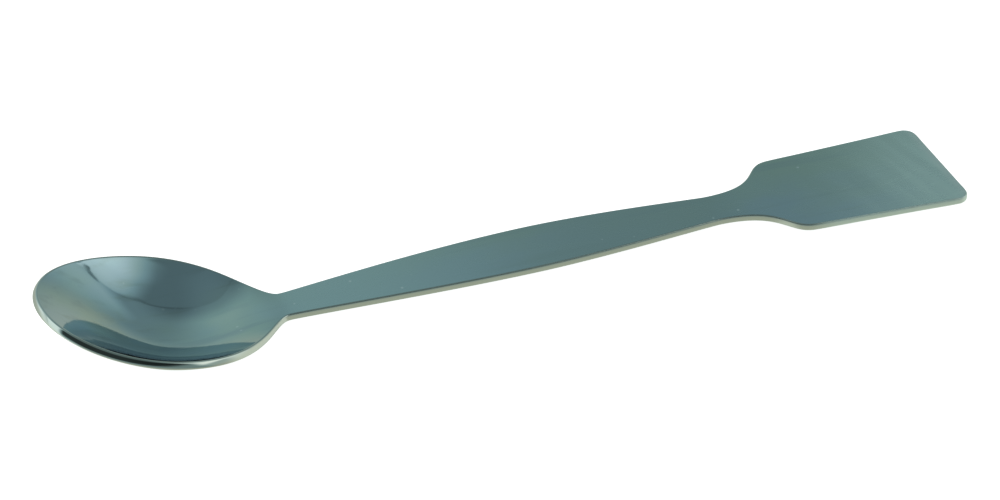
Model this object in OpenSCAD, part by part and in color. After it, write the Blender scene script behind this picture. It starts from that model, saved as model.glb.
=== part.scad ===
// Laboratory spoon spatula, pressed in one piece from stainless sheet: a dished oval bowl at one end,
// a leaf-shaped handle, and a flat blade that flares towards its end. +X runs from the bowl's tip to
// the blade's end and +Z is up. It lies as it comes to rest, on the bowl's belly and the blade's end.

/* [Sheet] */
// Length from the bowl's tip to the blade's end, measured along the level blade
overall_length = 150; // [135:1:200]
// Thickness of the sheet
sheet = 1.2; // [0.7:0.05:1.6]
// Rounding of every edge, above and below
edge_radius = 0.3; // [0.1:0.05:0.45]

/* [Bowl] */
// Length from the tip to the narrowest point of the neck behind the bowl
bowl_length = 37.5; // [30:0.1:44]
// Width across the rim's upper edge at its widest point
bowl_width = 28.1; // [18:0.1:36]
// Distance of the widest point from the tip
bowl_widest = 17.4; // [12:0.2:22]
// Height by which the rim curves up from its widest point to the tip
tip_rise = 1.2; // [0:0.1:3]
// Depth of the dish below the rim
bowl_depth = 5.6; // [2:0.1:9]
// Share by which the dish grows shallower towards the tip
tip_ease = 0.6; // [0:0.05:0.8]
// How soon the dish grows shallower towards the neck: 1 is latest
heel_ease = 1.3; // [1:0.1:2.4]
// Angle by which the rim rises from the line of the handle
bowl_tilt = 16.4; // [6:0.1:26]
// Length over which the sheet bends from the handle into the rim
bend_length = 6.8; // [4:0.2:11]
// Distance of the bend's middle from the neck, on the bowl's side
bend_setback = 3; // [0:0.1:5]
// Share of the way from widest point to neck over which the heel stays full
heel_fullness = 0.655; // [0.45:0.005:0.8]
// Share of the same way over which the hollow corner at the neck draws out
heel_hollow = 0.15; // [0.05:0.01:0.3]

/* [Handle] */
// Width of the neck behind the bowl
bowl_neck_width = 5.9; // [4:0.1:9]
// Width of the handle at its widest point
handle_width = 10.8; // [7:0.1:16]
// Distance of the handle's widest point from the bowl's tip
handle_widest = 78; // [60:0.5:95]
// Width of the neck before the blade
blade_neck_width = 6.7; // [4:0.1:9]
// Angle through which the handle arches between its two necks
handle_arch = 2.6; // [0:0.1:6]
// Share of each handle half over which it stays as narrow as its neck
neck_fullness = 0.07; // [0.05:0.01:0.3]
// Share of the bowl's half of the handle over which it stays full
bowl_side_fullness = 0.41; // [0.3:0.01:0.7]
// Share of the blade's half of the handle over which it stays full
blade_side_fullness = 0.41; // [0.3:0.005:0.7]

/* [Blade] */
// Distance of the blade's neck from the blade's end
blade_neck_distance = 41; // [36:0.2:48]
// Length of the blade's straight sides, with the corner
blade_length = 27.2; // [18:0.2:32]
// Width across the shoulders, where the straight sides begin
shoulder_width = 19.1; // [12:0.1:26]
// Width of the blade at its end
blade_width = 21.3; // [14:0.1:30]
// Radius of the two corners at the blade's end
corner_radius = 2; // [1:0.1:4]
// Share of the way from neck to shoulder over which the hollow corner draws out
shoulder_hollow = 0.78; // [0.5:0.005:0.85]
// Share of the same way over which the shoulder rounds into the side
shoulder_fullness = 0.36; // [0.2:0.005:0.6]
// Extra thickness along the middle of the blade's underside, falling evenly to nothing at its sides
blade_keel = 0.12; // [0:0.01:0.4]

/* [Hidden] */

// Facets: across the sheet, along each stretch of it, and round each quarter of the edge
across = 12;
tip_rows = 9;
heel_rows = 16;
handle_rows = 12;
shoulder_rows = 14;
side_rows = 4;
corner_rows = 3;
edge_steps = 3;

// The steel's colour
steel = [0.43, 0.51, 0.51];

// Places along the length, from the bowl's tip
neck_x = bowl_length;
blade_neck_x = overall_length - blade_neck_distance;
shoulder_x = overall_length - blade_length;
bend_end_x = neck_x - bend_setback + bend_length / 2;
bend_start_x = bend_end_x - bend_length;

// The rim line is where the upper face ends and the rounding of the edge begins
rim_half = bowl_width / 2 - edge_radius;
rim_front = bowl_widest - edge_radius;
neck_half = bowl_neck_width / 2 - edge_radius;

// The first row follows the bowl's tip round to this angle on either side
tip_angle = 35;

// Cubic curve through four control points, and its direction
function curve(c, t) =
    pow(1 - t, 3) * c[0] + 3 * t * pow(1 - t, 2) * c[1] + 3 * t * t * (1 - t) * c[2] + pow(t, 3) * c[3];
function curve_direction(c, t) =
    pow(1 - t, 2) * (c[1] - c[0]) + 2 * t * (1 - t) * (c[2] - c[1]) + t * t * (c[3] - c[2]);

// Control points of an S from a to b: level at a, at the given slope at b, each full for a share of the way
function s_curve(a, b, full_a, full_b, slope_b = 0) =
    let (run = b.x - a.x)
    [a, a + [full_a * run, 0], b - full_b * run * [1, slope_b], b];

function unit(v) = v / norm(v);

// Stations are places on the rim line of the far side: [x, half width, slope of the half width]
function station(c, t) =
    let (
        p = curve(c, t),
        d = unit(curve_direction(c, t)),
        q = p - edge_radius * [-d.y, d.x]
    )
    [q.x, q.y, d.y / d.x];
function stations(c, count) = [for (k = [1:count]) station(c, k / count)];

// Outline of the far side from the bowl's widest point to the blade's shoulder
side_slope_blade = (blade_width - shoulder_width) / 2 / blade_length;
widest_point = [bowl_widest, bowl_width / 2];
neck_point = [neck_x, bowl_neck_width / 2];
swell_point = [handle_widest, handle_width / 2];
blade_neck_point = [blade_neck_x, blade_neck_width / 2];
shoulder_point = [shoulder_x, shoulder_width / 2];
heel = s_curve(widest_point, neck_point, heel_fullness, heel_hollow);
bowl_side = s_curve(neck_point, swell_point, neck_fullness, bowl_side_fullness);
blade_side = s_curve(swell_point, blade_neck_point, blade_side_fullness, neck_fullness);
shoulder = s_curve(blade_neck_point, shoulder_point, shoulder_hollow, shoulder_fullness, side_slope_blade);

// Corner of the blade: its centre, the radius of its rim line and the half of its turn on the side
corner_lean = atan(side_slope_blade);
corner_x = overall_length - corner_radius;
corner_y = shoulder_point.y + side_slope_blade * (corner_x - shoulder_x) - corner_radius / cos(corner_lean);
corner_rim = corner_radius - edge_radius;
corner_turn = (90 + corner_lean) / 2;
function corner_station(turn) =
    [corner_x + corner_rim * cos(turn), corner_y + corner_rim * sin(turn), -1 / tan(turn)];

// Places across a row, from -1 on the near side to 1 on the far side, closer together at the edges
spread = [for (k = [0:across]) sin(180 * k / across - 90)];

// Plan points are [x, y, half width there, slope of the half width there]
function straight_row(s) = [for (v = spread) [s[0], s[1] * v, s[1], s[2]]];

// Rows of the front of the bowl: the first follows the rim, and the bow fades to the straight widest row
function tip_x(y) = edge_radius + rim_front * (1 - sqrt(1 - pow(y / rim_half, 2)));
function tip_row(share) =
    let (
        half = rim_half * sin(tip_angle + (90 - tip_angle) * share),
        edge_x = tip_x(half),
        bow = pow(1 - share, 2)
    )
    [for (v = spread) [edge_x + bow * (tip_x(half * v) - edge_x), half * v, half, 0]];

// Rows of the blade's end: the last follows the corners and the end, and the bow grows towards it
function end_x(y) =
    let (past = max(0, abs(y) - corner_y))
    corner_x + sqrt(pow(corner_rim, 2) - past * past);
function end_row(share) =
    let (
        s = corner_station(90 + corner_lean - corner_turn * share),
        last = corner_station(corner_turn),
        bow = share * share
    )
    [for (v = spread) [s[0] + bow * (end_x(last[1] * v) - last[0]), s[1] * v, s[1], s[2]]];

side_start = station(shoulder, 1);
side_end = corner_station(90 + corner_lean);
plan = concat(
    [for (k = [0:tip_rows]) tip_row(k / tip_rows)],
    [for (s = stations(heel, heel_rows)) straight_row(s)],
    [for (s = stations(bowl_side, handle_rows)) straight_row(s)],
    [for (s = stations(blade_side, handle_rows)) straight_row(s)],
    [for (s = stations(shoulder, shoulder_rows)) straight_row(s)],
    [for (k = [1:side_rows - 1]) straight_row(side_start + (side_end - side_start) * k / side_rows)],
    [for (k = [0:corner_rows]) end_row(k / corner_rows)]
);
last_row = len(plan) - 1;

// Side line of the upper face with the blade level at 0: an arched handle, a bend, and the rim
arch_slope = tan(handle_arch);
rim_slope = tan(handle_arch - bowl_tilt);
function side_slope(x) =
    x >= blade_neck_x ? 0
    : x >= bend_end_x ? arch_slope * (blade_neck_x - x) / (blade_neck_x - bend_end_x)
    : x >= bend_start_x ? rim_slope + (arch_slope - rim_slope) * (x - bend_start_x) / bend_length
    : rim_slope - 2 * tip_rise * max(0, bowl_widest - x) / pow(bowl_widest, 2);
function side_height(x) =
    x >= blade_neck_x ? 0
    : x >= bend_end_x ? -side_slope(x) * (blade_neck_x - x) / 2
    : x >= bend_start_x ? side_height(bend_end_x) - (bend_end_x - x) * (side_slope(x) + arch_slope) / 2
    : side_height(bend_start_x) - (bend_start_x - x) * rim_slope
        + tip_rise * pow(max(0, bowl_widest - x) / bowl_widest, 2);

// Dish of the bowl: an oval hollow in front, whose floor runs out level into the neck behind
function front_share(p) = [(bowl_widest - p.x) / rim_front, p.y / rim_half];
function front_ease(share) = 1 - tip_ease * pow(share.x, 2);
heel_span = pow(rim_half, 2) - pow(neck_half, 2);
function heel_share(p) = max(0, pow(p[2], 2) - pow(neck_half, 2)) / heel_span;
function dish(p) =
    p.x < bowl_widest
        ? let (share = front_share(p)) bowl_depth * (1 - share * share) * front_ease(share)
    : p.x < neck_x
        ? bowl_depth * pow(heel_share(p), heel_ease) * (1 - pow(p.y / p[2], 2))
    : 0;
function dish_slope(p) =
    p.x < bowl_widest
        ? let (share = front_share(p), ease = front_ease(share))
            2 * bowl_depth * [
                share.x * (ease + tip_ease * (1 - share * share)) / rim_front,
                -share.y * ease / rim_half
            ]
    : p.x < neck_x
        ? let (share = heel_share(p), across_share = pow(p.y / p[2], 2))
            2 * bowl_depth * pow(share, heel_ease - 1) * [
                p[3] * (heel_ease * p[2] * (1 - across_share) / heel_span + share * across_share / p[2]),
                -share * p.y / pow(p[2], 2)
            ]
    : [0, 0];

// Thickness of the sheet: the blade's keel grows from the neck to the shoulder
function thickness(p) =
    let (share = max(0, min(1, (p.x - blade_neck_x) / (shoulder_x - blade_neck_x))))
    sheet + blade_keel * share * (1 - abs(p.y) / p[2]);

// Upper face, the direction square to it, and the lower face one thickness away
function upper_point(p) = [p.x, p.y, side_height(p.x) - dish(p)];
function upper_normal(p) = unit([dish_slope(p).x - side_slope(p.x), dish_slope(p).y, 1]);
upper = [for (row = plan) [for (p = row) upper_point(p)]];
normals = [for (row = plan) [for (p = row) upper_normal(p)]];
lower = [for (i = [0:last_row]) [for (j = [0:across]) upper[i][j] - thickness(plan[i][j]) * normals[i][j]]];

// Way round the rim, as places [row, column]: near side, blade end, far side, bowl tip
rim = concat(
    [for (i = [0:last_row - 1]) [i, 0]],
    [for (j = [0:across - 1]) [last_row, j]],
    [for (i = [last_row:-1:1]) [i, across]],
    [for (j = [across:-1:1]) [0, j]]
);
rim_count = len(rim);
function rim_place(k) = rim[(k + rim_count) % rim_count];
function rim_point(k) = upper[rim_place(k)[0]][rim_place(k)[1]];
function rim_normal(k) = normals[rim_place(k)[0]][rim_place(k)[1]];
function rim_thickness(k) = thickness(plan[rim_place(k)[0]][rim_place(k)[1]]);

// Section of the edge as [outwards, down] from the rim line: a rounding above and one below
rounding = [for (k = [1:edge_steps]) edge_radius * [sin(90 * k / edge_steps), 1 - cos(90 * k / edge_steps)]];
function edge_section(depth) = concat(
    rounding,
    [for (k = [edge_steps - 1:-1:0]) [rounding[k].x, depth - rounding[k].y]]
);
edge_count = 2 * edge_steps;
function edge_ring(k) =
    let (out = unit(cross(rim_point(k + 1) - rim_point(k - 1), rim_normal(k))))
    [for (e = edge_section(rim_thickness(k))) rim_point(k) + e.x * out - e.y * rim_normal(k)];

// Points of the skin: upper face, lower face, then the edge, one section after another
face_count = (last_row + 1) * (across + 1);
skin_points = concat(
    [for (row = upper) each row],
    [for (row = lower) each row],
    [for (k = [0:rim_count - 1]) each edge_ring(k)]
);
function upper_index(i, j) = i * (across + 1) + j;
function lower_index(i, j) = face_count + upper_index(i, j);
function edge_index(k, level) =
    let (place = rim_place(k))
    level == 0 ? upper_index(place[0], place[1])
    : level > edge_count ? lower_index(place[0], place[1])
    : 2 * face_count + (k % rim_count) * edge_count + level - 1;

// Two triangles for four corners given clockwise, split along a-c or along b-d
function split(a, b, c, d, along_ac) = along_ac ? [[a, b, c], [a, c, d]] : [[a, b, d], [b, c, d]];
skin_faces = concat(
    [for (i = [0:last_row - 1]) for (j = [0:across - 1]) each split(
        upper_index(i, j), upper_index(i, j + 1), upper_index(i + 1, j + 1), upper_index(i + 1, j),
        j < across / 2)],
    [for (i = [0:last_row - 1]) for (j = [0:across - 1]) each split(
        lower_index(i, j), lower_index(i + 1, j), lower_index(i + 1, j + 1), lower_index(i, j + 1),
        j < across / 2)],
    [for (k = [0:rim_count - 1]) for (level = [0:edge_count]) each split(
        edge_index(k, level), edge_index(k + 1, level), edge_index(k + 1, level + 1), edge_index(k, level + 1),
        true)]
);

// Rest: the line under the blade's end and the lowest part of the belly is turned level
middle = across / 2;
end_support = lower[last_row][middle];
rest_angle = max([for (i = [0:tip_rows + heel_rows])
    let (d = end_support - lower[i][middle]) atan2(d.z, d.x)]);
function along(p) = p.x * cos(rest_angle) + p.z * sin(rest_angle);
reach = [for (p = skin_points) along(p)];
rest_shift = [
    -(min(reach) + max(reach)) / 2,
    0,
    end_support.x * sin(rest_angle) - end_support.z * cos(rest_angle)
];

module spatula() {
    color(steel)
        translate(rest_shift)
            rotate([0, rest_angle, 0])
                polyhedron(points = skin_points, faces = skin_faces, convexity = 6);
}

spatula();
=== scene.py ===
"""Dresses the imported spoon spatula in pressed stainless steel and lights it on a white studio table."""

import logging
import math
from dataclasses import dataclass, field
from enum import Enum
from typing import Any, Dict, List, Optional, Sequence, Tuple, Union

import bmesh
import bpy
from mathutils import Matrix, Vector


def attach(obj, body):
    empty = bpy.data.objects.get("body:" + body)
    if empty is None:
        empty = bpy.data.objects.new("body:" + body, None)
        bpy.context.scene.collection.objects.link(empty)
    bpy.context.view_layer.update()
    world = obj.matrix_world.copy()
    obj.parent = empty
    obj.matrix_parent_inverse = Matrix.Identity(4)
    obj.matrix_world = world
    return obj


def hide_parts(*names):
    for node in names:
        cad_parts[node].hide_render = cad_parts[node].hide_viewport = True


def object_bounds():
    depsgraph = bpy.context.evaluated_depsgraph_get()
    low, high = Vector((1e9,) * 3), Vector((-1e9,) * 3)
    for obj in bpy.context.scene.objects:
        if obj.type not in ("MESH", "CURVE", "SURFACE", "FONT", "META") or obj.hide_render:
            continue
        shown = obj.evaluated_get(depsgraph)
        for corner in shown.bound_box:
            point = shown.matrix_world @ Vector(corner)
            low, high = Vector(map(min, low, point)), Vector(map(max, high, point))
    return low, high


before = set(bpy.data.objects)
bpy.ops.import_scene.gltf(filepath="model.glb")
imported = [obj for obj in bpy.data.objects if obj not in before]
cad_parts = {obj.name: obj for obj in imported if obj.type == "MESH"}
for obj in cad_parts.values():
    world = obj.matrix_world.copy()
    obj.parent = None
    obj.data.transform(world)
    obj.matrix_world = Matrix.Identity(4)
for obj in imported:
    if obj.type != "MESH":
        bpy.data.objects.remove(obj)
CAD_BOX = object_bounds()

MM = 0.001
NOISE_MIDDLE = 0.5
LOG = logging.getLogger("spatula")

Color = Tuple[float, float, float]
Triple = Tuple[float, float, float]
Span = Tuple[float, float]
Number = Union["Socket", float]


class Operation(Enum):
    """Arithmetic that a shader value takes part in."""

    ADD = "ADD"
    SUBTRACT = "SUBTRACT"
    MULTIPLY = "MULTIPLY"
    DIVIDE = "DIVIDE"
    POWER = "POWER"
    LARGER = "MAXIMUM"
    SMALLER = "MINIMUM"
    SIZE = "ABSOLUTE"


class Socket:
    """A shader value, on which Python's own arithmetic adds Math nodes."""

    def __init__(self, tree: "ShaderTree", socket: Optional[bpy.types.NodeSocket]) -> None:
        """Wraps one output of a node.

        Args:
            tree: the tree that the node is in.
            socket: the output that carries the value, if the node has one.
        """
        self.tree = tree
        self.socket = socket

    def _math(self, operation: Operation, first: Number, second: Number) -> "Socket":
        """Adds one Math node.

        Args:
            operation: what the node does.
            first: its first value.
            second: its second value.

        Returns:
            The result.
        """
        return self.tree.node("ShaderNodeMath", {"operation": operation.value}, {0: first, 1: second})

    def __add__(self, other: Number) -> "Socket":
        """This value plus another."""
        return self._math(Operation.ADD, self, other)

    def __radd__(self, other: Number) -> "Socket":
        """Another value plus this one."""
        return self._math(Operation.ADD, other, self)

    def __sub__(self, other: Number) -> "Socket":
        """This value less another."""
        return self._math(Operation.SUBTRACT, self, other)

    def __rsub__(self, other: Number) -> "Socket":
        """Another value less this one."""
        return self._math(Operation.SUBTRACT, other, self)

    def __mul__(self, other: Number) -> "Socket":
        """This value times another."""
        return self._math(Operation.MULTIPLY, self, other)

    def __rmul__(self, other: Number) -> "Socket":
        """Another value times this one."""
        return self._math(Operation.MULTIPLY, other, self)

    def __truediv__(self, other: Number) -> "Socket":
        """This value over another."""
        return self._math(Operation.DIVIDE, self, other)

    def __rtruediv__(self, other: Number) -> "Socket":
        """Another value over this one."""
        return self._math(Operation.DIVIDE, other, self)

    def __pow__(self, other: Number) -> "Socket":
        """This value to a power."""
        return self._math(Operation.POWER, self, other)

    def __abs__(self) -> "Socket":
        """This value without its sign."""
        return self._math(Operation.SIZE, self, 0.0)

    def at_least(self, other: Number) -> "Socket":
        """The larger of this value and another."""
        return self._math(Operation.LARGER, self, other)

    def at_most(self, other: Number) -> "Socket":
        """The smaller of this value and another."""
        return self._math(Operation.SMALLER, self, other)


class ShaderTree:
    """The node tree of a material or of the world, filled one node at a time."""

    def __init__(self, owner: Union[bpy.types.Material, bpy.types.World]) -> None:
        """Empties the owner's tree.

        Args:
            owner: the material or world whose nodes these are.
        """
        owner.use_nodes = True
        self.nodes = owner.node_tree.nodes
        self.links = owner.node_tree.links
        self.nodes.clear()

    def node(
        self,
        kind: str,
        settings: Optional[Dict[str, Any]] = None,
        inputs: Optional[Dict[Union[str, int], Any]] = None,
        output: Union[str, int] = 0,
    ) -> Socket:
        """Adds any node.

        Args:
            kind: the node's type.
            settings: its own settings, with a ramp's stops under "stops" as (place, colour) pairs.
            inputs: values or links of its sockets, by name or by place.
            output: the output to hand back.

        Returns:
            That output, which is empty where the node has none.
        """
        node = self.nodes.new(kind)
        for name, value in (settings or {}).items():
            if name == "stops":
                self._set_stops(node.color_ramp.elements, value)
            else:
                setattr(node, name, value)
        for name, value in (inputs or {}).items():
            if isinstance(value, Socket):
                self.links.new(value.socket, node.inputs[name])
            else:
                node.inputs[name].default_value = value
        return Socket(self, node.outputs[output] if node.outputs else None)

    @staticmethod
    def _set_stops(elements: Any, stops: Sequence[Tuple[float, Color]]) -> None:
        """Sets a colour ramp's stops.

        Args:
            elements: the ramp's elements, two of them at first.
            stops: each stop's place and colour, in order.
        """
        while len(elements) < len(stops):
            elements.new(1.0)
        for element, (place, color) in zip(elements, stops):
            element.position = place
            element.color = (*color, 1.0)

    def ease(self, value: Number, span: Span, low: float = 0.0, high: float = 1.0) -> Socket:
        """Turns a value smoothly from low to high.

        Args:
            value: what is turned.
            span: where the result is low, and where it is high.
            low: the result before the span.
            high: the result after it.

        Returns:
            The result.
        """
        inputs = {"Value": value, "From Min": span[0], "From Max": span[1], "To Min": low, "To Max": high}
        return self.node("ShaderNodeMapRange", {"interpolation_type": "SMOOTHSTEP"}, inputs)

    def blend(self, share: Number, first: Union[Socket, Color], second: Union[Socket, Color]) -> Socket:
        """Mixes two colours.

        Args:
            share: how much of the second shows.
            first: the colour at share 0.
            second: the colour at share 1.

        Returns:
            The mixed colour.
        """
        colors = [c if isinstance(c, Socket) else (*c, 1.0) for c in (first, second)]
        return self.node("ShaderNodeMix", {"data_type": "RGBA"}, {0: share, 6: colors[0], 7: colors[1]}, 2)

    def axes(self, place: Socket, names: str) -> List[Socket]:
        """Takes the named parts, such as "XYZ", out of a place or a direction."""
        return [self.node("ShaderNodeSeparateXYZ", {}, {0: place}, name) for name in names]

    def surface(self, inputs: Dict[Union[str, int], Any]) -> None:
        """Adds a Principled shader with these inputs and makes it the surface."""
        shader = self.node("ShaderNodeBsdfPrincipled", {}, inputs)
        self.node("ShaderNodeOutputMaterial", {}, {"Surface": shader})


@dataclass(frozen=True)
class Noise:
    """A noise that may be finer along some axes than along others, per metre."""

    scale: Triple
    detail: float

    def over(self, tree: ShaderTree, place: Socket) -> Socket:
        """Adds the noise.

        Args:
            tree: the material's tree.
            place: where on the piece.

        Returns:
            The noise, on both sides of NOISE_MIDDLE.
        """
        stretched = tree.node("ShaderNodeMapping", {}, {"Vector": place, "Scale": self.scale})
        inputs = {"Vector": stretched, "Scale": 1.0, "Detail": self.detail}
        return tree.node("ShaderNodeTexNoise", {}, inputs)


@dataclass(frozen=True)
class SteelMaps:
    """What varies over the steel: the place, how far each kind of finish holds there, and the noises."""

    place: Socket
    along: Socket
    across: Socket
    edge: Socket
    bowl: Socket
    blade: Socket
    worn: Socket
    smudge: Socket
    grain: Socket
    streak: Socket
    scratch: Socket


@dataclass(frozen=True)
class SteelFinish:
    """Pressed stainless steel: satin handle, bright bowl, worn blade and ground edge, with painted light in
    some tints.

    A span runs from where a change starts to where it is complete. Those of places are along the piece,
    except for straw_side_span, which is across it.
    """

    name: str = "stainless"
    edge_layer: str = "edge"

    # Tints of the faces, and of the cut edge; some of them are painted sheen, painted shade and a painted
    # highlight
    cool_tint: Color = (0.485, 0.60, 0.65)
    green_tint: Color = (0.505, 0.62, 0.55)
    straw_tint: Color = (0.60, 0.65, 0.55)
    # The next tint colours the streaks, and also paints a darker band of shade on the middle of the handle
    streak_and_painted_shade_tint: Color = (0.44, 0.54, 0.535)
    # The next tint is a painted sheen: a lighter colour on the handle towards the bowl
    painted_sheen_tint: Color = (0.58, 0.72, 0.71)
    worn_tint: Color = (0.84, 0.97, 0.90)
    rubbed_tint: Color = (0.97, 1.0, 0.94)
    speck_tint: Color = (0.84, 0.90, 0.88)
    grazing_tint: Color = (0.90, 0.90, 0.93)
    # The next tint is the ground edge's own colour, darkened as painted shade for the dim table that it
    # reflects
    edge_tint_with_painted_shade: Color = (0.58, 0.60, 0.54)
    worn_edge_tint: Color = (0.76, 0.82, 0.76)
    # The next tint is a painted highlight on the cut edge at the tip
    painted_tip_highlight_tint: Color = (0.69, 0.73, 0.68)

    # How much of a tint shows where it is complete, and how much more or less of it in the bowl
    streak_share: float = 0.6
    bowl_streak_gain: float = 0.3
    painted_sheen_share: float = 0.85
    painted_shade_share: float = 0.7
    straw_share: float = 0.4
    rubbed_share: float = 0.7
    speck_share: float = 0.8
    bowl_speck_loss: float = 0.5

    # Places
    polish_span: Span = (-34 * MM, -44 * MM)
    # Where the painted highlight on the tip's edge sets in
    painted_tip_highlight_span: Span = (-70.3 * MM, -72.3 * MM)
    straw_span: Span = (-56 * MM, -66 * MM)
    straw_tip_span: Span = (-71 * MM, -66 * MM)
    straw_side_span: Span = (7 * MM, 3 * MM)
    # The next three spans place the painted sheen and the painted darker band on the handle
    painted_sheen_span: Span = (5 * MM, -27 * MM)
    painted_shade_span: Span = (-8 * MM, 14 * MM)
    painted_shade_end_span: Span = (42 * MM, 32 * MM)
    blade_span: Span = (46 * MM, 52 * MM)
    worn_span: Span = (38 * MM, 77 * MM)
    rubbed_span: Span = (73 * MM, 75 * MM)

    # Change of hue across the handle and, the other way, across the bowl, per metre
    hue_run: float = 42.0
    bowl_hue_run: float = 12.0
    bowl_coolness: float = 0.03
    hue_span: Span = (0.25, 0.75)

    # Noises, and how much of each counts
    smudges: Noise = Noise((55.0, 90.0, 90.0), 3.0)
    grain: Noise = Noise((260.0, 5200.0, 5200.0), 2.0)
    streaks: Noise = Noise((28.0, 520.0, 520.0), 2.0)
    streak_span: Span = (0.5, 0.75)
    straw_noise_span: Span = (0.8, 1.2)

    # Hair-fine scratches, by the angle and the start of each run
    scratches: Noise = Noise((70.0, 5600.0, 300.0), 0.0)
    scratch_runs: Tuple[Tuple[float, float], ...] = ((4.0, 0.3), (-17.0, 1.7), (38.0, 2.9))
    scratch_span: Span = (0.73, 0.80)

    # Specks of dust, by the size of the cells that may hold one
    speck_cells: float = 420.0
    speck_lot_span: Span = (0.78, 0.79)
    speck_rim_span: Span = (0.13, 0.05)

    # Wear of the blade, in bands across it
    bands: Noise = Noise((330.0, 40.0, 40.0), 2.0)
    band_turn: float = -12.0
    band_contrast: float = 0.8
    wear_lean: float = 0.35
    wear_growth: float = 1.9
    wear_share: float = 0.92

    # Roughness of each finish, and what the noises add to it
    satin: float = 0.16
    satin_grain: float = 0.06
    satin_smudge: float = 0.08
    satin_scratch: float = 0.12
    worn_satin: float = 0.30
    polish: float = 0.055
    polish_smudge: float = 0.04
    polish_streak: float = 0.06
    polish_scratch: float = 0.05
    edge_satin: float = 0.30
    edge_polish: float = 0.07
    edge_worn: float = 0.55

    # Relief of the grain and the scratches
    relief_height: float = 0.02 * MM
    relief_strength: float = 0.03
    relief_polish: float = 0.8
    relief_scratch: float = 0.8

    def material(self) -> bpy.types.Material:
        """Makes the material.

        Returns:
            The steel, ready to be put on a piece.
        """
        material = bpy.data.materials.new(self.name)
        tree = ShaderTree(material)
        maps = self._maps(tree)
        tree.surface({
            "Base Color": self._color(tree, maps),
            "Metallic": 1.0,
            "Roughness": self._roughness(maps),
            "Specular Tint": (*self.grazing_tint, 1.0),
            "Normal": self._relief(tree, maps),
        })
        return material

    def _maps(self, tree: ShaderTree) -> SteelMaps:
        """Adds what varies over the steel.

        Args:
            tree: the material's tree.

        Returns:
            The sockets that the colour, the roughness and the relief share.
        """
        place = tree.node("ShaderNodeTexCoord", output="Object")
        along, across = tree.axes(place, "XY")
        return SteelMaps(
            place=place,
            along=along,
            across=across,
            edge=tree.node("ShaderNodeAttribute", {"attribute_name": self.edge_layer}, output="Fac"),
            bowl=tree.ease(along, self.polish_span),
            blade=tree.ease(along, self.blade_span),
            worn=self._wear(tree, place, along, across),
            smudge=self.smudges.over(tree, place),
            grain=self.grain.over(tree, place),
            streak=self.streaks.over(tree, place),
            scratch=self._scratches(tree, place),
        )

    def _color(self, tree: ShaderTree, maps: SteelMaps) -> Socket:
        """Lays the tints over each other, from the plain steel up to the cut edge, painted sheen and shade
        among them.

        Args:
            tree: the material's tree.
            maps: what varies over the steel.

        Returns:
            The colour.
        """
        hue_run = self.hue_run - maps.bowl * (self.hue_run + self.bowl_hue_run)
        hue = maps.smudge + maps.across * hue_run - maps.bowl * self.bowl_coolness
        color = tree.blend(tree.ease(hue, self.hue_span), self.cool_tint, self.green_tint)
        streaked = tree.ease(maps.streak, self.streak_span)
        streaked = streaked * (self.streak_share + maps.bowl * self.bowl_streak_gain)
        color = tree.blend(streaked, color, self.streak_and_painted_shade_tint)
        # Painted sheen: a lighter handle towards the bowl
        painted_sheen = tree.ease(maps.along, self.painted_sheen_span) * (1.0 - maps.bowl)
        color = tree.blend(painted_sheen * self.painted_sheen_share, color, self.painted_sheen_tint)
        # Painted shade: a darker band along the middle of the handle
        painted_shade_band = tree.ease(maps.along, self.painted_shade_span) * tree.ease(maps.along, self.painted_shade_end_span)
        color = tree.blend(painted_shade_band * self.painted_shade_share, color, self.streak_and_painted_shade_tint)
        color = tree.blend(self._straw(tree, maps) * self.straw_share, color, self.straw_tint)
        color = tree.blend(maps.worn, color, self.worn_tint)
        rubbed = tree.ease(maps.along, self.rubbed_span)
        color = tree.blend(rubbed * self.rubbed_share, color, self.rubbed_tint)
        specks = self._specks(tree, maps.place) * (self.speck_share - maps.bowl * self.bowl_speck_loss)
        color = tree.blend(specks, color, self.speck_tint)
        # The cut edge: its ground colour darkened as painted shade, brightened at the tip as a painted
        # highlight
        edge_color_with_painted_light = tree.blend(maps.blade, self.edge_tint_with_painted_shade, self.worn_edge_tint)
        # Painted highlight on the cut edge at the tip
        edge_color_with_painted_light = tree.blend(tree.ease(maps.along, self.painted_tip_highlight_span), edge_color_with_painted_light, self.painted_tip_highlight_tint)
        return tree.blend(maps.edge, color, edge_color_with_painted_light)

    def _straw(self, tree: ShaderTree, maps: SteelMaps) -> Socket:
        """Shades the yellow tinge in the front of the bowl.

        Args:
            tree: the material's tree.
            maps: what varies over the steel.

        Returns:
            The share of straw-coloured steel.
        """
        reach = tree.ease(maps.along, self.straw_span) * tree.ease(maps.along, self.straw_tip_span)
        reach = reach * tree.ease(maps.across, self.straw_side_span)
        return reach * tree.ease(maps.streak + maps.smudge, self.straw_noise_span)

    def _roughness(self, maps: SteelMaps) -> Socket:
        """Works out the roughness of the faces and of the cut edge.

        Args:
            maps: what varies over the steel.

        Returns:
            The roughness.
        """
        grain, smudge, streak = (noise - NOISE_MIDDLE for noise in (maps.grain, maps.smudge, maps.streak))
        satin = self.satin + grain * self.satin_grain + smudge * self.satin_smudge
        satin = satin + maps.scratch * self.satin_scratch + maps.worn * (self.worn_satin - self.satin)
        polish = self.polish + smudge * self.polish_smudge + streak * self.polish_streak
        polish = polish + maps.scratch * self.polish_scratch
        face = satin + maps.bowl * (polish - satin)
        ground = self.edge_satin + maps.bowl * (self.edge_polish - self.edge_satin)
        ground = ground + maps.blade * (self.edge_worn - ground)
        return face + maps.edge * (ground - face)

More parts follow.
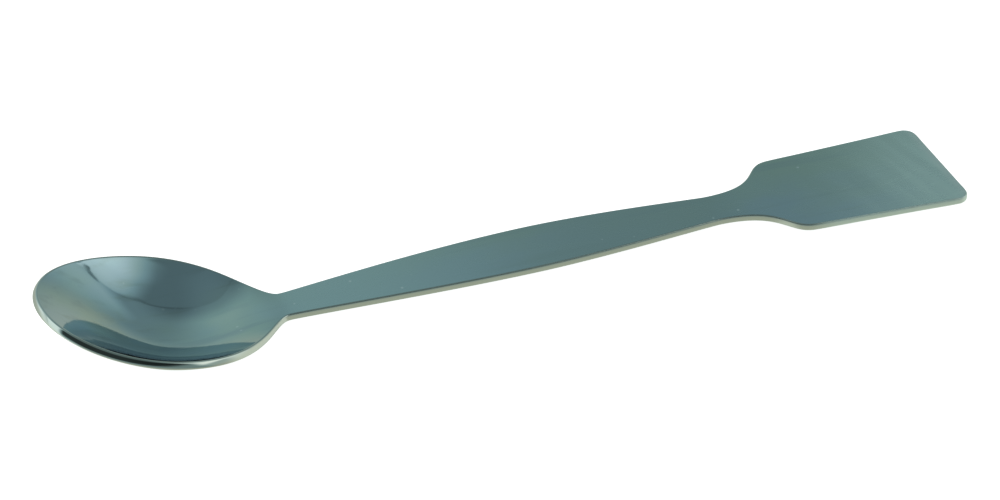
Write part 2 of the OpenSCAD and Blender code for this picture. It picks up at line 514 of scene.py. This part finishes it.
    def _relief(self, tree: ShaderTree, maps: SteelMaps) -> Socket:
        """Raises the grain, less in the bowl, and sinks the scratches.

        Args:
            tree: the material's tree.
            maps: what varies over the steel.

        Returns:
            The normal.
        """
        height = (maps.grain - NOISE_MIDDLE) * (1.0 - maps.bowl * self.relief_polish)
        height = height - maps.scratch * self.relief_scratch
        inputs = {"Strength": self.relief_strength, "Distance": self.relief_height, "Height": height}
        return tree.node("ShaderNodeBump", {}, inputs)

    def _wear(self, tree: ShaderTree, place: Socket, along: Socket, across: Socket) -> Socket:
        """Shades the blade's use: rubbed bright towards its end and near side, in bands across it.

        Args:
            tree: the material's tree.
            place: where on the piece.
            along: how far along the piece.
            across: how far across it.

        Returns:
            The share of rubbed steel.
        """
        bands = self.bands.over(tree, self._turned(tree, place, self.band_turn)) - NOISE_MIDDLE
        rubbed = tree.ease(along - across * self.wear_lean, self.worn_span) ** self.wear_growth
        return (rubbed * (self.wear_share + bands * self.band_contrast)).at_least(0.0).at_most(1.0)

    @staticmethod
    def _turned(tree: ShaderTree, place: Socket, angle: float, start: float = 0.0) -> Socket:
        """Turns places about the upright axis.

        Args:
            tree: the material's tree.
            place: where on the piece.
            angle: how far to turn, in degrees.
            start: how far to move afterwards, along every axis.

        Returns:
            The turned place.
        """
        turn = (0.0, 0.0, math.radians(angle))
        inputs = {"Vector": place, "Rotation": turn, "Location": (start, start, start)}
        return tree.node("ShaderNodeMapping", {}, inputs)

    def _scratches(self, tree: ShaderTree, place: Socket) -> Socket:
        """Adds hair-fine scratches that run in a few directions.

        Args:
            tree: the material's tree.
            place: where on the piece.

        Returns:
            1 in a scratch and 0 beside it.
        """
        total = None
        for angle, start in self.scratch_runs:
            run = self.scratches.over(tree, self._turned(tree, place, angle, start))
            hair = tree.ease(run, self.scratch_span)
            total = hair if total is None else total.at_least(hair)
        return total

    def _specks(self, tree: ShaderTree, place: Socket) -> Socket:
        """Adds a few bright specks of dust and tiny dents.

        Args:
            tree: the material's tree.
            place: where on the piece.

        Returns:
            1 on a speck and 0 beside it.
        """
        cells = {"Vector": place, "Scale": self.speck_cells}
        distance = tree.node("ShaderNodeTexVoronoi", {}, cells, "Distance")
        color = tree.node("ShaderNodeTexVoronoi", {}, cells, "Color")
        lot = tree.node("ShaderNodeSeparateColor", {}, {0: color}, 0)
        return tree.ease(distance, self.speck_rim_span) * tree.ease(lot, self.speck_lot_span)


@dataclass
class Spatula:
    """The one-piece spatula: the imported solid's own surface, made smooth."""

    name: str = "spatula_steel"
    node: str = "spatula"
    body: str = "root"
    slot: str = "stainless"
    finish: SteelFinish = field(default_factory=SteelFinish)
    merge_distance: float = 0.001 * MM
    flat_angle: float = math.radians(40)
    edge_angle: float = math.radians(22)
    edge_reach: float = 0.25 * MM
    swell_rounds: int = 2
    smoothing: int = 2
    piece: Optional[bpy.types.Object] = None

    def build(self) -> None:
        """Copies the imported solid, joins its triangles into quads and rounds them by subdivision."""
        shell = bmesh.new()
        shell.from_mesh(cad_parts[self.node].data)
        bmesh.ops.remove_doubles(shell, verts=shell.verts[:], dist=self.merge_distance)
        bmesh.ops.join_triangles(
            shell,
            faces=shell.faces[:],
            angle_face_threshold=self.flat_angle,
            angle_shape_threshold=math.pi,
        )
        for face in shell.faces:
            face.smooth = True
            face.material_index = 0
        self._mark_edge(shell)
        self._swell(shell)
        self._narrow_edge(shell)
        mesh = bpy.data.meshes.new(self.name)
        shell.to_mesh(mesh)
        shell.free()
        self.piece = bpy.data.objects.new(self.name, mesh)
        bpy.context.scene.collection.objects.link(self.piece)
        self._round()

    def _mark_edge(self, shell: bmesh.types.BMesh) -> None:
        """Marks the corners of the sheet's cut edge in a layer that the steel reads.

        Args:
            shell: the surface, as quads.
        """
        layer = shell.verts.layers.float.new(self.finish.edge_layer)
        sharp = {
            corner for edge in shell.edges for corner in edge.verts
            if edge.is_manifold and edge.calc_face_angle() > self.edge_angle}
        near = {
            edge.other_vert(corner) for corner in sharp for edge in corner.link_edges
            if edge.calc_length() < self.edge_reach}
        for corner in sharp | near:
            corner[layer] = 1.0

    def _meeting(self, shell: bmesh.types.BMesh) -> List[bmesh.types.BMVert]:
        """Finds the corners where a face meets the edge's rounding.

        Args:
            shell: the surface, with its edge marked.

        Returns:
            The marked corners that have a neighbour without a mark.
        """
        layer = shell.verts.layers.float[self.finish.edge_layer]
        return [
            corner for corner in shell.verts
            if corner[layer] and not all(edge.other_vert(corner)[layer] for edge in corner.link_edges)]

    def _swell(self, shell: bmesh.types.BMesh) -> None:
        """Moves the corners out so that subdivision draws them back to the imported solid's own.

        Corners where a face meets the edge's rounding stay, so that the face runs into it without a ripple.

        Args:
            shell: the surface, with its edge marked.
        """
        meeting = set(self._meeting(shell))
        corners = [corner for corner in shell.verts if corner not in meeting]
        goals = [corner.co.copy() for corner in corners]
        shell.normal_update()
        for _ in range(self.swell_rounds):
            drawn = [self._limit(corner) for corner in corners]
            for corner, goal, limit in zip(corners, goals, drawn):
                corner.co += corner.normal * (goal - limit).dot(corner.normal)

    @staticmethod
    def _limit(corner: bmesh.types.BMVert) -> Vector:
        """Finds where endless subdivision, by the rule of Catmull and Clark, would bring one corner.

        Args:
            corner: the corner, on a closed surface.

        Returns:
            The place on the smooth surface.
        """
        count = len(corner.link_edges)
        faces = sum((face.calc_center_median() for face in corner.link_faces), Vector())
        others = sum((edge.other_vert(corner).co for edge in corner.link_edges), Vector())
        moved = (faces / count + (corner.co + others / count) + (count - 3) * corner.co) / count
        edges = (count * corner.co + others + 2 * faces) / 4
        return (count * count * moved + 4 * edges + faces) / (count * (count + 5))

    def _narrow_edge(self, shell: bmesh.types.BMesh) -> None:
        """Takes the mark off the corners where a face meets the edge's rounding.

        Args:
            shell: the surface, with its edge marked.
        """
        layer = shell.verts.layers.float[self.finish.edge_layer]
        for corner in self._meeting(shell):
            corner[layer] = 0.0

    def _round(self) -> None:
        """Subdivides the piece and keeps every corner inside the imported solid's box."""
        rounding = self.piece.modifiers.new("rounding", "SUBSURF")
        rounding.levels = self.smoothing
        rounding.render_levels = self.smoothing
        view = bpy.context.evaluated_depsgraph_get()
        mesh = bpy.data.meshes.new_from_object(self.piece.evaluated_get(view))
        self.piece.modifiers.clear()
        self.piece.data = mesh
        for corner in mesh.vertices:
            corner.co = [min(max(c, low), high) for c, low, high in zip(corner.co, *CAD_BOX)]

    def dress(self) -> None:
        """Puts the steel on and hands the piece to the frame."""
        self.piece.data.materials.append(self.finish.material())
        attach(self.piece, self.body)
        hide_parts(self.node)


@dataclass(frozen=True)
class Viewpoint:
    """The camera, by where it looks and from how far."""

    target: Triple = (0.054 * MM, 0.0, 2.99 * MM)
    azimuth: float = math.radians(21.128)
    elevation: float = math.radians(36.263)
    distance: float = 436.75 * MM
    sensor: float = 36.0
    lens: float = 100.8
    shift: Tuple[float, float] = (-0.01425, 0.0005)
    clip_start: float = 10 * MM

    def sight(self) -> Vector:
        """The direction in which the camera looks."""
        level = math.cos(self.elevation)
        return Vector((
            level * math.sin(self.azimuth), level * math.cos(self.azimuth), -math.sin(self.elevation)))

    def build(self) -> None:
        """Makes the camera and gives it to the scene."""
        data = bpy.data.cameras.new("camera")
        data.sensor_width = self.sensor
        data.lens = self.lens
        data.shift_x, data.shift_y = self.shift
        data.clip_start = self.clip_start
        camera = bpy.data.objects.new("camera", data)
        camera.location = Vector(self.target) - self.sight() * self.distance
        camera.rotation_euler = (math.pi / 2 - self.elevation, 0.0, -self.azimuth)
        bpy.context.scene.collection.objects.link(camera)
        bpy.context.scene.camera = camera


@dataclass(frozen=True)
class Way:
    """A direction into the room: x points right, y away from the camera's side and z up.

    turn and ahead are x and y as seen from above. past says how far the direction lies past the line
    overhead, and behind is 1 behind the camera and 0 before it.
    """

    x: Socket
    y: Socket
    z: Socket
    turn: Socket
    ahead: Socket
    past: Socket
    behind: Socket


@dataclass(frozen=True)
class Surroundings:
    """The room that the steel reflects: walls on the far side, and a dark ceiling between two bright sides.

    The two meet along a dark line, which runs overhead from left to right and ends at the right in a short
    dark bar. A band behind the camera is dark too. Below the horizon is the table, paler than the room and
    warm. Spans are of parts of a direction, from where a change starts to where it is complete.
    """

    # Course of the line: a plane through the room, bent at its ends
    line: Triple = (0.10, 0.93, -0.35)
    line_shift: float = 0.058
    line_middle: float = 0.36
    line_bow: float = 0.6
    line_bow_limit: float = 0.12
    line_rise: float = 0.12
    line_rise_span: Span = (0.56, 0.84)
    line_hook: float = 0.05
    line_hook_span: Span = (0.2, 0.08)

    # Darkness of the line, of the bar at its end, and of the walls beside it
    line_width_span: Span = (0.024, 0.0)
    line_shade: float = 0.30
    line_start_span: Span = (-0.05, 0.25)
    line_stop_span: Span = (0.78, 0.72)
    bar_shade: float = 0.80
    bar_height: float = 0.556
    bar_lean: float = 0.2
    bar_width_span: Span = (0.013, 0.005)
    bar_right_span: Span = (0.815, 0.832)
    bar_start_span: Span = (0.05, 0.09)
    bar_stop_span: Span = (0.21, 0.18)
    bar_thin: float = 0.78
    bar_thin_span: Span = (0.16, 0.11)
    line_dimming: float = 0.40
    dimming_right_span: Span = (0.7, 0.3)
    dimming_depth_span: Span = (0.343, 0.0)

    # Walls on the far side
    far_span: Span = (-0.012, 0.012)
    far_level: float = 0.28
    far_middle_glow: float = 0.17
    far_middle_span: Span = (0.62, -0.17)
    far_left_glow: float = 0.04
    far_left_span: Span = (0.1, -0.2)
    left_glow: float = 0.55
    left_span: Span = (-0.3, -0.9)
    right_glow: float = 0.267
    right_span: Span = (0.734, 0.993)
    right_height_span: Span = (0.65, 0.47)
    low_glow: float = 0.045
    low_span: Span = (0.52, 0.14)

    # Ceiling on the near side, and its bright left
    ceiling_level: float = 0.19
    ceiling_left_glow: float = 0.066
    ceiling_left_span: Span = (0.25, -0.2)
    ceiling_left_loss: float = 0.7
    side_glow: float = 0.72
    side_span: Span = (0.22, 1.243)
    side_foot: float = 0.05

    # Dark band behind the camera, and the paler zone below it
    behind_turn: float = 0.335
    behind_span: Span = (-0.36, -0.53)
    behind_slope: float = 0.16
    behind_share: float = 0.12
    band_top_span: Span = (0.85, 0.65)
    band_foot_span: Span = (0.40, 0.52)
    behind_glow: float = 0.14
    behind_glow_span: Span = (0.48, 0.34)

    # Soft lamp at the right, with a bright window above its sill
    lamp: Triple = (0.888, -0.337, 0.312)
    lamp_glow: float = 0.74
    lamp_span: Span = (0.674, 0.989)
    window_glow: float = 0.25
    window_near_span: Span = (-0.25, -0.45)
    window_foot_span: Span = (0.33, 0.45)
    window_top_span: Span = (0.66, 0.52)
    sill_shade: float = 0.65
    sill_span: Span = (0.45, 0.33)
    spill_glow: float = 0.09
    spill_near_span: Span = (-0.03, -0.2)
    spill_top_span: Span = (0.95, 0.85)

    # Table below the horizon
    table: Color = (0.335, 0.37, 0.325)
    near_table: Color = (0.37, 0.41, 0.345)
    near_table_span: Span = (-0.2, -0.55)
    side_table: Color = (0.57, 0.63, 0.57)
    side_table_span: Span = (0.8, 0.98)
    table_span: Span = (0.4, -0.15)
    table_behind_drop: float = 0.35

    # Colour of the room by its brightness, as shares of the brightest
    brightest: float = 1.4
    shades: Tuple[Tuple[float, Color], ...] = (
        (0.0, (0.0, 0.0, 0.0)),
        (0.143, (0.100, 0.143, 0.149)),
        (0.300, (0.211, 0.300, 0.312)),
        (0.393, (0.307, 0.393, 0.389)),
        (0.536, (0.454, 0.536, 0.549)),
        (0.714, (0.614, 0.714, 0.714)),
        (1.0, (0.943, 1.0, 0.971)),
    )
    least_run: float = 0.001

    def world(self) -> bpy.types.World:
        """Makes the world.

        Returns:
            The world, ready to be given to the scene.
        """
        world = bpy.data.worlds.new("surroundings")
        tree = ShaderTree(world)
        way = self._way(tree)
        ceiling = self._ceiling(tree, way) + self._lamp(tree, way)
        level = ceiling + tree.ease(way.past, self.far_span) * (self._walls(tree, way) - ceiling)
        level = level * (1.0 - self._line(tree, way)) * (1.0 - self._bar(tree, way))
        color = tree.node("ShaderNodeValToRGB", {"stops": self.shades}, {0: level / self.brightest})
        low = tree.ease(way.z + way.behind * self.table_behind_drop, self.table_span)
        color = tree.blend(low, color, self._table(tree, way))
        glow = tree.node("ShaderNodeBackground", {}, {"Color": color, "Strength": self.brightest})
        tree.node("ShaderNodeOutputWorld", {}, {"Surface": glow})
        return world

    @staticmethod
    def _reach(parts: Sequence[Socket], direction: Triple) -> Socket:
        """How far a way, given by its x, y and z, points along a direction."""
        return sum((part * share for part, share in zip(parts, direction)), 0.0)

    def _way(self, tree: ShaderTree) -> Way:
        """Splits the direction in which the room is seen.

        Args:
            tree: the world's tree.

        Returns:
            The direction's parts.
        """
        x, y, z = tree.axes(tree.node("ShaderNodeTexCoord", output="Generated"), "XYZ")
        level_run = ((x * x + y * y) ** 0.5).at_least(self.least_run)
        turn, ahead = x / level_run, y / level_run
        bow = ((self.line_middle - x).at_least(0.0) ** 2.0 * self.line_bow).at_most(self.line_bow_limit)
        bow = bow + tree.ease(x, self.line_rise_span, 0.0, self.line_rise)
        bow = bow - tree.ease(y, self.line_hook_span, 0.0, self.line_hook)
        past = self._reach((x, y, z), self.line) + self.line_shift - bow
        behind = tree.ease(ahead + turn * self.behind_turn, self.behind_span)
        return Way(x, y, z, turn, ahead, past, behind)

    def _line(self, tree: ShaderTree, way: Way) -> Socket:
        """Shades the line overhead.

        Args:
            tree: the world's tree.
            way: the direction.

        Returns:
            The share of light that the line takes.
        """
        width = tree.ease(abs(way.past), self.line_width_span)
        length = tree.ease(way.x, self.line_start_span) * tree.ease(way.x, self.line_stop_span)
        return width * length * self.line_shade

    def _bar(self, tree: ShaderTree, way: Way) -> Socket:
        """Shades the short bar at the line's right end, darkest towards the camera's side.

        Args:
            tree: the world's tree.
            way: the direction.

        Returns:
            The share of light that the bar takes.
        """
        width = tree.ease(abs(way.z + way.y * self.bar_lean - self.bar_height), self.bar_width_span)
        length = tree.ease(way.y, self.bar_start_span) * tree.ease(way.y, self.bar_stop_span)
        shade = tree.ease(way.x, self.bar_right_span, 0.0, self.bar_shade)
        return width * length * shade * tree.ease(way.y, self.bar_thin_span, self.bar_thin, 1.0)

    def _walls(self, tree: ShaderTree, way: Way) -> Socket:
        """Shades the far side: bright to the left, dim to the right of the middle, brighter again beyond.

        Args:
            tree: the world's tree.
            way: the direction.

        Returns:
            The brightness.
        """
        right = tree.ease(way.turn, self.right_span) * tree.ease(way.z, self.right_height_span)
        level = (
            self.far_level
            + self.far_middle_glow * tree.ease(way.turn, self.far_middle_span)
            + self.far_left_glow * tree.ease(way.turn, self.far_left_span)
            + self.left_glow * tree.ease(way.turn, self.left_span)
            + self.right_glow * right
            + self.low_glow * tree.ease(way.z, self.low_span)
        )
        beside = tree.ease(way.x, self.dimming_right_span) * tree.ease(way.past, self.dimming_depth_span)
        return level * (1.0 - beside * self.line_dimming)

    def _ceiling(self, tree: ShaderTree, way: Way) -> Socket:
        """Shades the near side: dark overhead, darker in a band behind the camera, bright to the left.

        Args:
            tree: the world's tree.
            way: the direction.

        Returns:
            The brightness.
        """
        height = way.z - way.turn * self.behind_slope
        band = tree.ease(way.z, self.band_top_span) * tree.ease(height, self.band_foot_span)
        shaded = 1.0 - way.behind * band * (1.0 - self.behind_share)
        aside = tree.ease((0.0 - way.x) / way.z.at_least(self.side_foot), self.side_span)
        left = tree.ease(way.x, self.ceiling_left_span) * (1.0 - way.behind * self.ceiling_left_loss)
        return (
            self.ceiling_level * shaded
            + self.behind_glow * way.behind * tree.ease(height, self.behind_glow_span)
            + self.ceiling_left_glow * left
            + self.side_glow * aside * (1.0 - way.behind)
        )

    def _lamp(self, tree: ShaderTree, way: Way) -> Socket:
        """Shades the soft lamp at the right, brightest in a window above its sill.

        Args:
            tree: the world's tree.
            way: the direction.

        Returns:
            The brightness.
        """
        towards = self._reach((way.x, way.y, way.z), self.lamp)
        near = tree.ease(way.ahead, self.window_near_span)
        sill = 1.0 - near * tree.ease(way.z, self.sill_span, 0.0, self.sill_shade)
        window = tree.ease(way.z, self.window_foot_span) * tree.ease(way.z, self.window_top_span) * near
        glow = self.lamp_glow * sill + self.window_glow * window
        spill = tree.ease(way.y, self.spill_near_span) * tree.ease(way.z, self.spill_top_span)
        return (glow * tree.ease(towards, self.lamp_span) + spill * self.spill_glow) * (1.0 - way.behind)

    def _table(self, tree: ShaderTree, way: Way) -> Socket:
        """Tints the table: warmer close by, brighter at the sides.

        Args:
            tree: the world's tree.
            way: the direction.

        Returns:
            The colour.
        """
        color = tree.blend(tree.ease(way.z, self.near_table_span), self.table, self.near_table)
        return tree.blend(tree.ease(abs(way.turn), self.side_table_span), color, self.side_table)


@dataclass
class Studio:
    """The white table and the soft light round it."""

    floor_reach: float = 3.0
    floor_tint: Color = (0.35, 0.35, 0.35)
    floor_glow: float = 0.94
    key_power: float = 22.0
    key_size: float = 2.0
    key_height: float = 1.4
    surroundings: Surroundings = field(default_factory=Surroundings)

    def build(self) -> None:
        """Lays the floor and lights it."""
        self._floor()
        self._key()
        bpy.context.scene.world = self.surroundings.world()
        bpy.context.scene.view_settings.view_transform = "Standard"

    def _floor(self) -> None:
        """Makes the table top, a wide plain sheet just under the spatula."""
        sheet = bmesh.new()
        bmesh.ops.create_grid(sheet, x_segments=1, y_segments=1, size=self.floor_reach)
        mesh = bpy.data.meshes.new("table")
        sheet.to_mesh(mesh)
        sheet.free()
        table = bpy.data.objects.new("table", mesh)
        bpy.context.scene.collection.objects.link(table)
        material = bpy.data.materials.new("table_white")
        ShaderTree(material).surface({
            "Base Color": (*self.floor_tint, 1.0),
            "Roughness": 1.0,
            "Specular IOR Level": 0.0,
            "Emission Color": (1.0, 1.0, 1.0, 1.0),
            "Emission Strength": self.floor_glow,
        })
        mesh.materials.append(material)
        table.visible_glossy = False
        table.visible_shadow = False

    def _key(self) -> None:
        """Hangs a large soft light over the table that brightens it without showing in the steel."""
        data = bpy.data.lights.new("key", "AREA")
        data.shape = "DISK"
        data.size = self.key_size
        data.energy = self.key_power
        key = bpy.data.objects.new("key", data)
        key.location = (0.0, 0.0, self.key_height)
        key.visible_glossy = False
        bpy.context.scene.collection.objects.link(key)


def main() -> None:
    """Builds the camera, the studio and the spatula, in that order, and reports each."""
    logging.basicConfig(level=logging.INFO, format="%(name)s: %(message)s")
    view = Viewpoint()
    view.build()
    LOG.info("camera: %.0f mm away", view.distance / MM)
    Studio().build()
    LOG.info("studio: floor, key light and surroundings")
    spatula = Spatula()
    spatula.build()
    spatula.dress()
    LOG.info("%s: %d faces", spatula.piece.name, len(spatula.piece.data.polygons))


if __name__ == "__main__":
    main()
